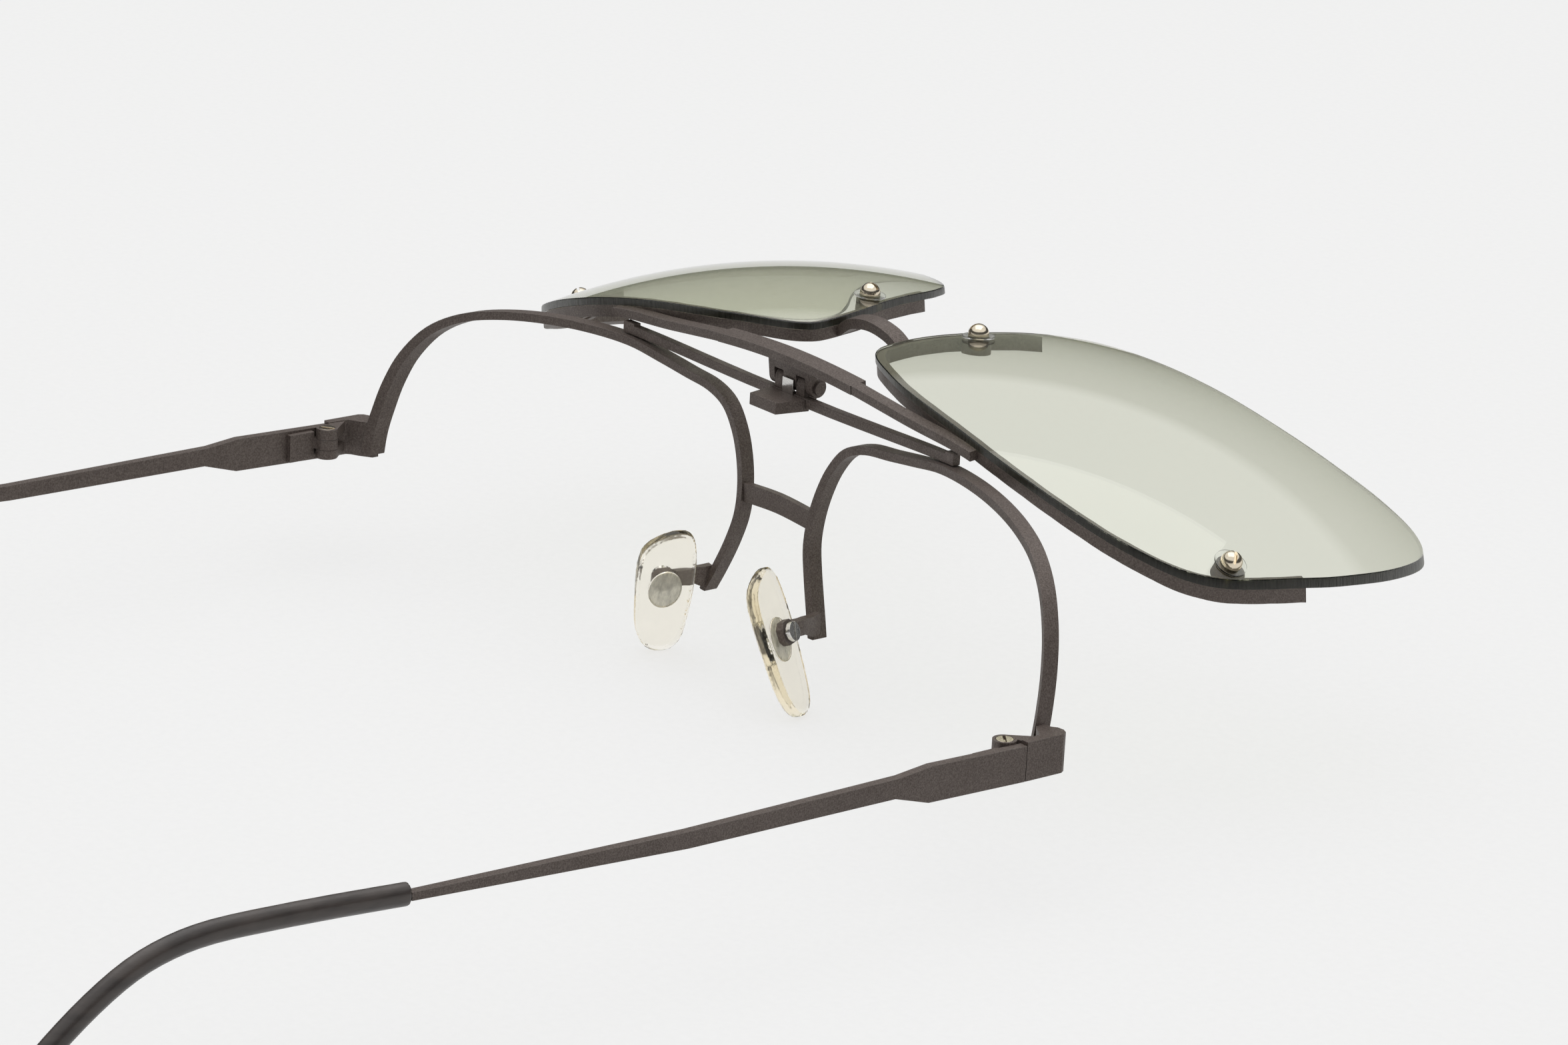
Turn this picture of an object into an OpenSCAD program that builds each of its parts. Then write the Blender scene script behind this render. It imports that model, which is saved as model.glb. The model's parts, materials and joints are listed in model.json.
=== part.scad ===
// Flip up sunglasses: a half rim frame with a pair of tinted lenses hinged above its bridge.
// Millimetres. The wearer's left is +X, the front is -Y and up is +Z. The glasses stand on
// the lower ends of the nose pads and of the temple tips, with the tinted lenses flipped up.

/* [Front] */
// Half the distance between the two temple hinge pins
hinge_half_w = 66; // [64:0.5:68]
// Radius of the sphere that the middle of the rims lies on
face_r = 90; // [88:0.5:92]
// Width of the rim wire, seen from the front
rim_w = 1.1; // [0.9:0.1:1.3]
// Depth of the rim wire, front to back
rim_depth = 1.9; // [1.5:0.1:2]
// Height of the bridge between the rims
bridge_h = 2.4; // [1.8:0.1:2.8]
// Thickness of the bridge
bridge_t = 1; // [0.8:0.1:1.2]
// Height of the brow bar that runs over the rims
brow_h = 1.15; // [0.9:0.05:1.3]
// Thickness of the brow bar, front to back
brow_t = 1.1; // [0.9:0.05:1.2]
// Half the length of the brow bar
brow_half_l = 31.6; // [28:0.2:33]

/* [Flip hinge] */
// Distance of the flip hinge's axis in front of the temple hinge pins
flip_axis_fwd = 22.5; // [22.3:0.1:22.7]
// Height of the flip hinge's axis above the top of the temple hinges
flip_axis_z = 20.5; // [20.4:0.1:20.7]
// Angle between the lenses as they are worn and as they stand flipped up
flip_angle = 97.1; // [90:0.1:100]
// Radius of the flip hinge's knuckles
flip_knuckle_r = 1.2; // [1:0.05:1.3]
// Radius of the flip hinge's pin
flip_pin_r = 0.5; // [0.4:0.05:0.6]
// Width of the flip hinge, along its pin
flip_hinge_w = 8; // [7:0.5:9]

/* [Clip] */
// Radius of the tinted lenses' front surface
lens_r = 88; // [88:0.1:89]
// Width of the clip's band, seen from the front
band_w = 1.1; // [0.9:0.1:1.3]
// Depth of the clip's band, front to back
band_depth = 1.5; // [1.2:0.1:1.5]
// Thickness of a tinted lens
lens_t = 1; // [0.8:0.1:1]
// Distance by which a tinted lens stands out past the band
lens_lip = 0.15; // [0.1:0.05:0.3]
// Thickness of the clip's brow bar
clip_bar_t = 1.15; // [1:0.05:1.3]
// Height of the thick middle of the clip's brow bar
clip_bar_h = 2.4; // [2.2:0.1:2.6]
// Half the length of the thick middle of the clip's brow bar
clip_bar_mid = 12.7; // [11:0.1:14]
// Half the length of the whole brow bar of the clip
clip_bar_half_l = 34.2; // [30:0.2:36]
// Height of the clip's bridge
clip_bridge_h = 2.1; // [1.6:0.1:2.4]
// Thickness of the clip's bridge
clip_bridge_t = 1.3; // [1:0.1:1.5]

/* [Lens screws] */
// Radius of a lens screw's domed head
dome_r = 1.3; // [1.1:0.05:1.5]
// Height of a lens screw's domed head
dome_h = 1.45; // [1.2:0.05:1.6]
// Radius of a lens screw's shank
lens_screw_r = 0.65; // [0.5:0.05:0.7]
// Radius of the clear washer under a lens screw's head
washer_r = 2; // [1.8:0.1:2.3]
// Thickness of the clear washer
washer_t = 0.2; // [0.15:0.05:0.3]
// Radius of the threaded lug that a lens screw goes into
lug_r = 1.6; // [1.4:0.1:1.8]

/* [Nose pads] */
// Length of a nose pad
pad_l = 18.4; // [16:0.2:19]
// Width of a nose pad
pad_w = 7.4; // [7:0.1:7.8]
// Thickness of a nose pad
pad_t = 1.7; // [1.5:0.1:1.8]
// Turn of a pad's face towards the back
pad_yaw = 22; // [20:1:24]
// Spread of the pads towards their lower ends
pad_flare = 18; // [17:0.5:19]
// Lean of the pads' lower ends towards the front
pad_lean = 10.5; // [9:0.5:12]
// Half the height of the oval core inside a pad
pad_core_r = 2.8; // [2.5:0.1:3]
// Radius of a pad screw's head
pad_screw_head_r = 1.2; // [1:0.05:1.3]
// Radius of a pad screw's shank
pad_screw_r = 0.7; // [0.5:0.05:0.8]

/* [Temples] */
// Distance from a temple hinge pin to the outer face of the temple
temple_out = 2.5; // [2.4:0.1:2.7]
// Thickness of a temple
temple_t = 1.1; // [1:0.05:1.2]
// Height of the broad front of a temple
temple_h = 4.2; // [3.9:0.1:4.4]
// Length of the broad front of a temple, from the hinge pin
temple_broad_l = 12.5; // [10:0.5:14]
// Distance from the hinge pin to the front end of the plastic tip
tip_start = 81.6; // [78:0.2:84]
// Half the width of a plastic tip
tip_half_w = 1.1; // [1:0.05:1.2]
// Half the height of a plastic tip
tip_half_h = 1.3; // [1.2:0.05:1.4]
// Radius of the temple hinges' knuckles
knuckle_r = 1.4; // [1.3:0.05:1.45]
// Radius of a temple screw's shank
temple_screw_r = 0.6; // [0.5:0.05:0.7]
// Radius of a temple screw's countersunk head
temple_screw_head_r = 1; // [0.9:0.05:1.1]
// Height of the temple hinges
temple_hinge_h = 3.9; // [3.7:0.1:4.2]

/* [Hidden] */

$fn = 48;
ball_fn = 120;
curve_steps = 5;
far = 120;

frame_colour = [0.27, 0.25, 0.24];
tip_colour = [0.2, 0.18, 0.17];
gold_colour = [0.83, 0.76, 0.62];
steel_colour = [0.72, 0.71, 0.7];
pad_colour = [0.93, 0.9, 0.82, 0.6];
lens_colour = [0.5, 0.53, 0.5, 0.6];
clear_colour = [0.9, 0.92, 0.92, 0.5];

// Fits and gaps
run_fit = 0.04;
thread_fit = 0.01;
side_gap = 0.1;
seam_gap = 0.1;

// The glasses stand on this height, below the tops of the temple hinges
floor_z = -16.7;

// Centre of the sphere that the left rim lies on, and of the left lens's and band's as worn.
// Their foremost points stay where they are when the radii change
face_c = [16.7, face_r - 21.8, 13.7];
lens_c = [15.6, lens_r - 26.7, 14.9];
rim_r_in = face_r - rim_depth / 2;
rim_r_out = face_r + rim_depth / 2;
lens_r_in = lens_r - lens_t;
band_r_in = lens_r_in - band_depth;

// The outlines are drawn for hinge pins 132 mm apart; past the split their outer halves follow
// the pins
drawn_half_w = 66;
split_x = 30;
function with_hinges(p) = [p.x + (hinge_half_w - drawn_half_w) * max(0, p.x - split_x) / (drawn_half_w - split_x),
    p[1]];

// Left rim from the side end over the top to the nose end, seen from the front: x and z
rim_drawn = [[64.4, -4.3], [64.5, -1.5], [64.2, 1.5], [63.4, 5.5], [61.8, 9.5], [58.9, 13.2], [54.9, 15.6],
    [50, 16.9], [44, 17.7], [37, 18.1], [30, 18], [24.5, 17.2], [19.5, 16.5], [15, 16], [11.6, 14.7],
    [9.3, 12.1], [7.8, 9], [6.9, 5.5], [6.8, 2], [7.7, -1.4], [9.1, -5], [10.7, -8.6]];
rim_pts = [for (p = rim_drawn) with_hinges(p)];
rim_nose_end_z = -8.5;
rim_side_end_z = -4;

// Left tinted lens, worn, seen from the front: x and z, from the nose side over the top
lens_drawn = [[5.9, 11.5], [6.9, 13.8], [9.3, 15.7], [13.5, 17.7], [18.5, 19.5], [24.5, 20.7], [31.5, 21.4],
    [38.5, 21.6], [46, 20.9], [53, 19.1], [58, 16.5], [61.2, 13.7], [63.2, 10.2], [64.3, 5.8],
    [64.9, 0.4], [65, -6.5], [63.8, -14.7], [61.4, -21.9], [58.4, -26.8], [54.5, -28.8],
    [50.2, -27.6], [45.5, -25], [38, -22], [30, -20.1], [22, -18], [15, -15.2], [11.9, -11.6],
    [10, -7.4], [7.8, 0], [6.2, 6]];
lens_pts = [for (p = lens_drawn) with_hinges(p)];

// Where the band ends: below these heights the lens has a free edge
band_side_end_z = -1.5;
band_nose_end_z = -8.2;

// Screws of the left lens, on its front surface: x and z
nose_screw_p = [10.3, 0.6];
side_screw_p = with_hinges([61.8, 7.4]);
lug_reach = 0.6;

// Brow bar: the left half of its centre line in plan and in front view
brow_plan = [[-8, -21.7], [0, -21.7], [8, -21.75], [16, -21.8], [22, -21.7], [27, -21.35], [33, -20.6]];
brow_front = [[-8, 18.6], [0, 18.62], [8, 18.6], [16, 18.7], [22, 18.87], [27, 19.1], [33, 19.4]];
brow_knob_l = 1.8;
brow_knob_up = 0.3;

// The clip's brow bar, worn: the left half of its centre line in plan
clip_bar_plan = [[-6, -25.7], [0, -25.85], [6, -25.7], [12.5, -25.25], [17, -24.75], [23.5, -24],
    [31, -23.35], [36, -22.5]];
clip_bar_top = 22.6;
clip_bar_outer_h = 1.5;

// Bridge of the frame and of the clip
bridge_top = 6.1;
bridge_half_l = 6.5;
bridge_rise = 0.35;
bridge_y = -20.6;
clip_bridge_plan = [[-6.5, -24.2], [-5.6, -24.45], [-3.4, -25.8], [0, -26.4], [3.4, -25.8], [5.6, -24.45],
    [6.5, -24.2]];
clip_bridge_z = 7.3;

// Flip hinge
flip_axis_y = -flip_axis_fwd;
flip_bore_r = flip_pin_r + run_fit;
flip_outer_w = 1.1;
flip_frame_w = 1.5;
flip_leaf_t = 1;
flip_frame_x = flip_hinge_w / 2 - flip_outer_w - side_gap - flip_frame_w;
flip_centre_half = flip_frame_x - side_gap;
flip_base_z = 18.3;
flip_base_back = brow_plan[1].y + brow_t / 2 - 0.1;
block_half_w = 2.5;
block_flare = 0.9;
block_back = -17.2;
block_z = [17.6, 19.1];
spring_t = 0.2;
spring_half_w = 1;
spring_z = [block_z[1], 21];

// Endpieces and temple hinges
plate_out_x = hinge_half_w + temple_out;
plate_in_x = plate_out_x - temple_t;
endpiece_top = 0.1;
endpiece_bottom = -4.5;
knuckle_z = [0, -1.35, -2.75, -temple_hinge_h];
temple_bore_r = temple_screw_r + run_fit;
head_bore_r = temple_screw_head_r + run_fit;
head_deep = 0.5;
seam_y = -1.25;
leaf_t = 0.8;
leaf_end_y = 5.2;
leaf_z = [-4.1, -0.5];

// Temple in side view: y and z along its top and its bottom, and the plastic tip's centre line
narrow_y = 17;
temple_front_z = -0.3;
temple_top_pts = [[seam_y + seam_gap, temple_front_z], [temple_broad_l, 0], [narrow_y, -0.5], [46, -0.8],
    [tip_start, -0.15]];
temple_low_pts = [[tip_start, -1.05], [46, -2.7], [narrow_y + 0.6, -2.8], [temple_broad_l + 0.3, -temple_h],
    [seam_y + seam_gap, temple_front_z - temple_h]];
tip_pts = [[tip_start, -0.6], [90, -0.1], [98, 0.25], [105, 0.35], [110, -0.25], [114.5, -1.7],
    [119, -4.3], [123.5, -7.7], [127.5, -11.3], [129.6, -13.4], [131.6, floor_z + tip_half_h]];
tip_x = hinge_half_w + 1.5;
core_h = 0.9;
core_t = 1;
core_skip = 5;
core_root = 0.5;
tip_sides = 16;

// Nose pads: the pad's centre, the box on its arm and the screw's axis
pad_edge = 0.35;
pad_low = min(concat([for (p = pad_outline(0), n = [-0.5, 0.5]) pad_z(p, n * (pad_t - 2 * pad_edge))],
    [for (p = pad_outline(pad_edge), n = [-0.5, 0.5]) pad_z(p, n * pad_t)]));
pad_c = [11.2, -12.4, floor_z - pad_low];
pad_axis_up = 1.2;
pad_core_up = 0.5;
pad_core_narrow = 0.77;
box_t = 0.9;
box_in = pad_t / 2 + 0.2;
box_out = box_in + box_t;
box_size = [2.9, 2.9];
box_corner = 0.7;
arm_t = 1;
pad_screw_head_h = 0.8;
pad_stem_r = 1.1;
pad_thread_l = 1.1;

function catmull(a, b, c, d, t) = 0.5 * ((2 * b) + (c - a) * t + (2 * a - 5 * b + 4 * c - d) * t * t
    + (3 * b - a - 3 * c + d) * t * t * t);

// A smooth open line through points
function curve(p, steps = curve_steps) = let (n = len(p)) concat(
    [for (i = [0 : n - 2], k = [0 : steps - 1])
        catmull(p[max(i - 1, 0)], p[i], p[i + 1], p[min(i + 2, n - 1)], k / steps)],
    [p[n - 1]]);

// A smooth closed line through points
function loop(p, steps = curve_steps) = let (n = len(p))
    [for (i = [0 : n - 1], k = [0 : steps - 1])
        catmull(p[(i + n - 1) % n], p[i], p[(i + 1) % n], p[(i + 2) % n], k / steps)];

function unit(v) = v / norm(v);
function left_of(v) = [-v.y, v.x];

// A line moved sideways, to the left of its direction
function beside(p, d) = let (n = len(p))
    [for (i = [0 : n - 1]) p[i] + d * left_of(unit(p[min(i + 1, n - 1)] - p[max(i - 1, 0)]))];
function beside_loop(p, d) = let (n = len(p))
    [for (i = [0 : n - 1]) p[i] + d * left_of(unit(p[(i + 1) % n] - p[(i + n - 1) % n]))];
function reversed(p) = [for (i = [len(p) - 1 : -1 : 0]) p[i]];

rim_line = curve(rim_pts);
rim_end_y = face_c.y - sqrt(face_r * face_r - pow(rim_pts[0].x - face_c.x, 2) - pow(rim_pts[0][1] - face_c.z, 2));
lens_line = loop(lens_pts);

// Point of the left lens, as worn, from its x and z and its sphere's radius
function on_lens(p, r = lens_r) = [p.x, lens_c.y - sqrt(r * r - pow(p.x - lens_c.x, 2)
    - pow(p[1] - lens_c.z, 2)), p[1]];
function flipped_y(p, r) = let (v = on_lens(p, r))
    flip_axis_y + (v.y - flip_axis_y) * cos(flip_angle) + (v.z - flip_axis_z) * sin(flip_angle);
front_y = min([for (p = lens_line, r = [lens_r_in, lens_r]) flipped_y(p, r)]);
tip_line = curve(tip_pts, 3);
tip_end = tip_pts[len(tip_pts) - 1];
back_y = tip_end.x + tip_half_h;
mid_y = (front_y + back_y) / 2;

// Everything is drawn from the temple hinges and then stood on the ground
module stand() {
    translate([0, -mid_y, -floor_z]) children();
}

module flipped() {
    stand() translate([0, flip_axis_y, flip_axis_z]) rotate([-flip_angle, 0, 0])
        translate([0, -flip_axis_y, -flip_axis_z]) children();
}

module other_side() {
    mirror([1, 0, 0]) children();
}

module along_y(y0, y1) {
    translate([0, y1, 0]) rotate([90, 0, 0]) linear_extrude(y1 - y0) children();
}

module along_x(x0, x1) {
    translate([x0, 0, 0]) rotate([90, 0, 90]) linear_extrude(x1 - x0) children();
}

module along_z(z0, z1) {
    translate([0, 0, z0]) linear_extrude(z1 - z0) children();
}

module stripe(line, w) {
    polygon(concat(beside(line, w / 2), reversed(beside(line, -w / 2))));
}

module shell(centre, r0, r1) {
    translate(centre) difference() {
        sphere(r1, $fn = ball_fn);
        sphere(r0, $fn = ball_fn);
    }
}

// Places what stands on the left lens along the lens's own normal
module on_lens_normal(p) {
    v = on_lens(p) - lens_c;
    translate(lens_c) rotate([0, acos(v.z / lens_r), atan2(v.y, v.x)]) children();
}

// Frame front
module rim_shape() {
    intersection() {
        along_y(-40, 10) intersection() {
            stripe(rim_line, rim_w);
            union() {
                translate([split_x, rim_side_end_z]) square(far);
                translate([0, rim_nose_end_z]) square([split_x, far]);
            }
        }
        shell(face_c, rim_r_in, rim_r_out);
    }
}

module both_rims() {
    rim_shape();
    other_side() rim_shape();
}

module rim_left() {
    color(frame_colour) stand() rim_shape();
}

module rim_right() {
    color(frame_colour) stand() other_side() rim_shape();
}

module bridge() {
    line = curve([[-bridge_half_l, 0], [0, bridge_rise], [bridge_half_l, 0]]);
    color(frame_colour) stand() difference() {
        along_y(bridge_y - bridge_t / 2, bridge_y + bridge_t / 2)
            translate([0, bridge_top - bridge_h / 2]) stripe(line, bridge_h);
        both_rims();
    }
}

module half_brow(plan, front, t, h, end) {
    intersection() {
        along_z(0, 30) stripe(curve(plan), t);
        along_y(-40, 0) stripe(curve(front), h);
        translate([0, -40, 0]) cube([end, 40, 40]);
    }
}

module brow_half_shape() {
    half_brow(brow_plan, brow_front, brow_t, brow_h, brow_half_l);
    intersection() {
        half_brow(brow_plan, brow_front, brow_t, brow_h + 2 * brow_knob_up, brow_half_l);
        translate([brow_half_l - brow_knob_l, -40, brow_front[5][1]]) cube([brow_knob_l, 40, 10]);
    }
}

module brow_shape() {
    brow_half_shape();
    other_side() brow_half_shape();
}

module brow_bar() {
    color(frame_colour) stand() difference() {
        brow_shape();
        both_rims();
    }
}

// Box behind the brow bar that holds the foot of the detent spring
module hinge_block() {
    color(frame_colour) stand() difference() {
        along_z(block_z[0], block_z[1]) polygon([[-block_half_w, block_back], [block_half_w, block_back],
            [block_half_w + block_flare, brow_plan[1].y], [-block_half_w - block_flare, brow_plan[1].y]]);
        brow_shape();
    }
}

module flip_pin_hole(r) {
    translate([-far / 2, flip_axis_y, flip_axis_z]) rotate([0, 90, 0]) cylinder(far, r, r);
}

module flip_knuckle(x0, x1) {
    translate([x0, flip_axis_y, flip_axis_z]) rotate([0, 90, 0])
        cylinder(x1 - x0, flip_knuckle_r, flip_knuckle_r);
}

// Frame knuckles, with feet that straddle the brow bar
module flip_hinge_base() {
    foot = [[flip_axis_y - flip_knuckle_r, flip_axis_z], [flip_axis_y + flip_knuckle_r, flip_axis_z],
        [flip_base_back, flip_axis_z - 0.6], [flip_base_back, flip_base_z],
        [flip_axis_y - flip_knuckle_r / 2, flip_base_z], [flip_axis_y - flip_knuckle_r, flip_axis_z - 0.6]];
    color(frame_colour) stand() difference() {
        for (x = [flip_frame_x, -flip_frame_x - flip_frame_w]) {
            flip_knuckle(x, x + flip_frame_w);
            along_x(x, x + flip_frame_w) polygon(foot);
        }
        flip_pin_hole(flip_pin_r + thread_fit);
        brow_shape();
    }
}

module flip_hinge_pin() {
    rivet_t = 0.25;
    half_l = flip_hinge_w / 2 + side_gap;
    color(steel_colour) stand() translate([0, flip_axis_y, flip_axis_z]) rotate([0, 90, 0]) {
        translate([0, 0, -half_l]) cylinder(2 * half_l, flip_pin_r, flip_pin_r);
        for (z = [-half_l - rivet_t, half_l])
            translate([0, 0, z]) cylinder(rivet_t, flip_pin_r * 1.6, flip_pin_r * 1.6);
    }
}

// Leaf that presses on the middle knuckle of the clip and holds it up or down
module detent_spring() {
    back = brow_plan[1].y + brow_t / 2 + 0.02;
    color(steel_colour) stand() difference() {
        translate([-spring_half_w, back, spring_z[0]])
            cube([2 * spring_half_w, spring_t, spring_z[1] - spring_z[0]]);
        brow_shape();
    }
}

// Endpieces and their hinges
module knuckle(z0, z1) {
    translate([hinge_half_w, 0, z0]) cylinder(z1 - z0, knuckle_r, knuckle_r);
}

module temple_pin_hole(r) {
    translate([hinge_half_w, 0, -far / 2]) cylinder(far, r, r);
}

module endpiece_shape() {
    corner = 2.1;
    start = [rim_pts[0].x - 0.1, rim_end_y];
    front = rim_end_y - 1.5;
    outline = [start, start - [0, 0.9], [hinge_half_w - 0.1, start.y - 0.9], [hinge_half_w + 0.5, front + 0.1],
        [hinge_half_w + 1.4, front],
        [plate_out_x - 0.35, front + 0.35], [plate_out_x, front + 0.95], [plate_out_x, seam_y],
        [plate_in_x, seam_y], [plate_in_x - 0.15, front + 1.5 + corner], [plate_in_x - 0.6, front + 1 + corner],
        [plate_in_x - 1.6, front + 0.5 + corner]];
    ear = [[hinge_half_w - 0.9, -1.05], [hinge_half_w, -2.1], [plate_in_x - 0.15, -3.6],
        [plate_in_x + 0.2, -3.6], [plate_in_x + 0.2, seam_y], [hinge_half_w + 0.9, -1.05],
        [hinge_half_w, 0]];
    difference() {
        union() {
            along_z(endpiece_bottom, endpiece_top) polygon(outline);
            for (k = [0, 2]) {
                knuckle(knuckle_z[k + 1], knuckle_z[k]);
                along_z(max(knuckle_z[k + 1], endpiece_bottom), knuckle_z[k]) polygon(ear);
            }
        }
        rim_shape();
        temple_pin_hole(temple_screw_r + thread_fit);
        translate([hinge_half_w, 0, -head_deep]) cylinder(far, head_bore_r, head_bore_r);
        // Room for the temple's own knuckle between the two ears
        translate([0, 0, knuckle_z[2]]) linear_extrude(knuckle_z[1] - knuckle_z[2])
            translate([hinge_half_w, 0]) circle(knuckle_r + side_gap);
    }
}

module endpiece_left() {
    color(frame_colour) stand() endpiece_shape();
}

module endpiece_right() {
    color(frame_colour) stand() other_side() endpiece_shape();
}

module temple_screw_shape() {
    slot_w = 0.3;
    slot_deep = 0.25;
    difference() {
        union() {
            translate([hinge_half_w, 0, knuckle_z[3]]) cylinder(temple_hinge_h, temple_screw_r, temple_screw_r);
            translate([hinge_half_w, 0, -head_deep])
                cylinder(head_deep, temple_screw_head_r, temple_screw_head_r);
        }
        translate([hinge_half_w, 0, 0]) rotate([0, 0, 35])
            cube([far, slot_w, 2 * slot_deep], center = true);
    }
}

module temple_screw_left() {
    color(gold_colour) stand() temple_screw_shape();
}

module temple_screw_right() {
    color(gold_colour) stand() other_side() temple_screw_shape();
}

// Hinge leaf on the inner face of the temple, with the middle knuckle
module temple_leaf_shape() {
    z0 = knuckle_z[2] + side_gap / 2;
    z1 = knuckle_z[1] - side_gap / 2;
    arm = [[hinge_half_w, -0.6], [hinge_half_w + 1.3, -0.5], [plate_in_x, 0.6], [plate_in_x, 1.6],
        [plate_in_x - leaf_t, 1.6], [hinge_half_w, 1.35]];
    difference() {
        union() {
            knuckle(z0, z1);
            along_z(z0, z1) polygon(arm);
            translate([plate_in_x - leaf_t, 1.55, leaf_z[0]])
                cube([leaf_t, leaf_end_y - 1.55, leaf_z[1] - leaf_z[0]]);
        }
        temple_pin_hole(temple_bore_r);
    }
}

module temple_leaf_left() {
    color(frame_colour) stand() temple_leaf_shape();
}

module temple_leaf_right() {
    color(frame_colour) stand() other_side() temple_leaf_shape();
}

// Wire that the temple carries on inside its plastic tip
module core_shape() {
    line = curve([for (i = [0 : len(tip_pts) - core_skip]) tip_pts[i] - (i == 0 ? [core_root, 0] : [0, 0])], 3);
    along_x(tip_x - core_t / 2, tip_x + core_t / 2) stripe(line, core_h);
}

module temple_shape() {
    along_x(plate_in_x, plate_out_x) polygon(concat(temple_top_pts, temple_low_pts));
    core_shape();
}

module temple_left() {
    color(frame_colour) stand() temple_shape();
}

module temple_right() {
    color(frame_colour) stand() other_side() temple_shape();
}

// Oval tube along the tip's centre line, with a rounded far end
module temple_tip_shape() {
    n = len(tip_line);
    round_angles = [0, 22, 45, 68, 86];
    dir = unit(tip_line[n - 1] - tip_line[n - 2]);
    rings = concat(
        [for (i = [0 : n - 2]) [tip_line[i], unit(tip_line[i + 1] - tip_line[max(i - 1, 0)]), 1]],
        [for (a = round_angles) [tip_line[n - 1] + dir * tip_half_h * sin(a), dir, cos(a)]]);
    points = [for (r = rings, k = [0 : tip_sides - 1]) let (a = 360 * k / tip_sides,
        up = r[0] + left_of(r[1]) * tip_half_h * r[2] * sin(a))
        [tip_x + tip_half_w * r[2] * cos(a), up.x, up.y]];
    m = len(rings);
    faces = concat(
        [[for (k = [tip_sides - 1 : -1 : 0]) k]],
        [for (i = [0 : m - 2], k = [0 : tip_sides - 1]) let (j = (k + 1) % tip_sides)
            [i * tip_sides + k, i * tip_sides + j, (i + 1) * tip_sides + j, (i + 1) * tip_sides + k]],
        [[for (k = [0 : tip_sides - 1]) (m - 1) * tip_sides + k]]);
    difference() {
        polyhedron(points, faces);
        temple_shape();
    }
}

module temple_tip_left() {
    color(tip_colour) stand() temple_tip_shape();
}

module temple_tip_right() {
    color(tip_colour) stand() other_side() temple_tip_shape();
}

// Nose pads
module pad_pose() {
    translate(pad_c) rotate([-pad_lean, -pad_flare, 0]) rotate([0, 0, -pad_yaw]) children();
}

// Height of a pad's point over the pad's centre, from its place on the face and its depth
function pad_z(p, n) = let (x = -n * cos(pad_yaw) - p.x * sin(pad_yaw), y = n * sin(pad_yaw) - p.x * cos(pad_yaw))
    x * sin(pad_flare) + (p.y * cos(pad_lean) - y * sin(pad_lean)) * cos(pad_flare);

// A pad seen square to its face: straight towards the front, round towards the back
function pad_outline(d) = let (l = pad_l / 2 - d, w = pad_w / 2 - d)
    loop([[-w * 0.98, -l * 0.07], [-w, l * 0.5], [-w * 0.82, l * 0.78], [-w * 0.35, l * 0.93], [w * 0.3, l],
        [w * 0.76, l * 0.93], [w * 0.95, l * 0.68], [w, l * 0.22], [w * 0.9, -l * 0.35], [w * 0.7, -l * 0.82],
        [w * 0.25, -l], [-w * 0.45, -l * 0.93], [-w * 0.86, -l * 0.6]], 4);

module pad_blank() {
    rotate([90, 0, -90]) {
        translate([0, 0, -pad_t / 2 + pad_edge]) linear_extrude(pad_t - 2 * pad_edge) polygon(pad_outline(0));
        translate([0, 0, -pad_t / 2]) linear_extrude(pad_t) polygon(pad_outline(pad_edge));
    }
}

// A cylinder on the axis of the pad's screw, which stands square to the pad
module pad_stem(r, x0, x1) {
    pad_pose() translate([x0, 0, pad_axis_up]) rotate([0, 90, 0]) cylinder(x1 - x0, r, r);
}

module pad_core_blank() {
    core_t = 0.8;
    pad_pose() translate([0, 0, pad_core_up]) along_x(-core_t / 2, core_t / 2)
        polygon([for (a = [0 : 10 : 350]) [pad_core_r * pad_core_narrow * cos(a), pad_core_r * sin(a)]]);
    pad_stem(pad_stem_r, 0, box_in - side_gap);
}

module pad_core_shape() {
    difference() {
        pad_core_blank();
        pad_stem(pad_screw_r + thread_fit, box_in - pad_thread_l, far);
    }
}

module pad_core_left() {
    color(clear_colour) stand() pad_core_shape();
}

module pad_core_right() {
    color(clear_colour) stand() other_side() pad_core_shape();
}

module nose_pad_shape() {
    difference() {
        pad_pose() pad_blank();
        pad_core_blank();
    }
}

module nose_pad_left() {
    color(pad_colour) stand() nose_pad_shape();
}

module nose_pad_right() {
    color(pad_colour) stand() other_side() nose_pad_shape();
}

module pad_screw_shape() {
    slot_w = 0.3;
    slot_deep = 0.3;
    difference() {
        union() {
            pad_stem(pad_screw_r, box_in - pad_thread_l + side_gap, box_out + side_gap);
            pad_stem(pad_screw_head_r, box_out + side_gap / 2, box_out + pad_screw_head_h);
        }
        pad_pose() translate([box_out + pad_screw_head_h, 0, pad_axis_up]) rotate([20, 0, 0])
            cube([2 * slot_deep, slot_w, far], center = true);
    }
}

module pad_screw_left() {
    color(steel_colour) stand() pad_screw_shape();
}

module pad_screw_right() {
    color(steel_colour) stand() other_side() pad_screw_shape();
}

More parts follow.
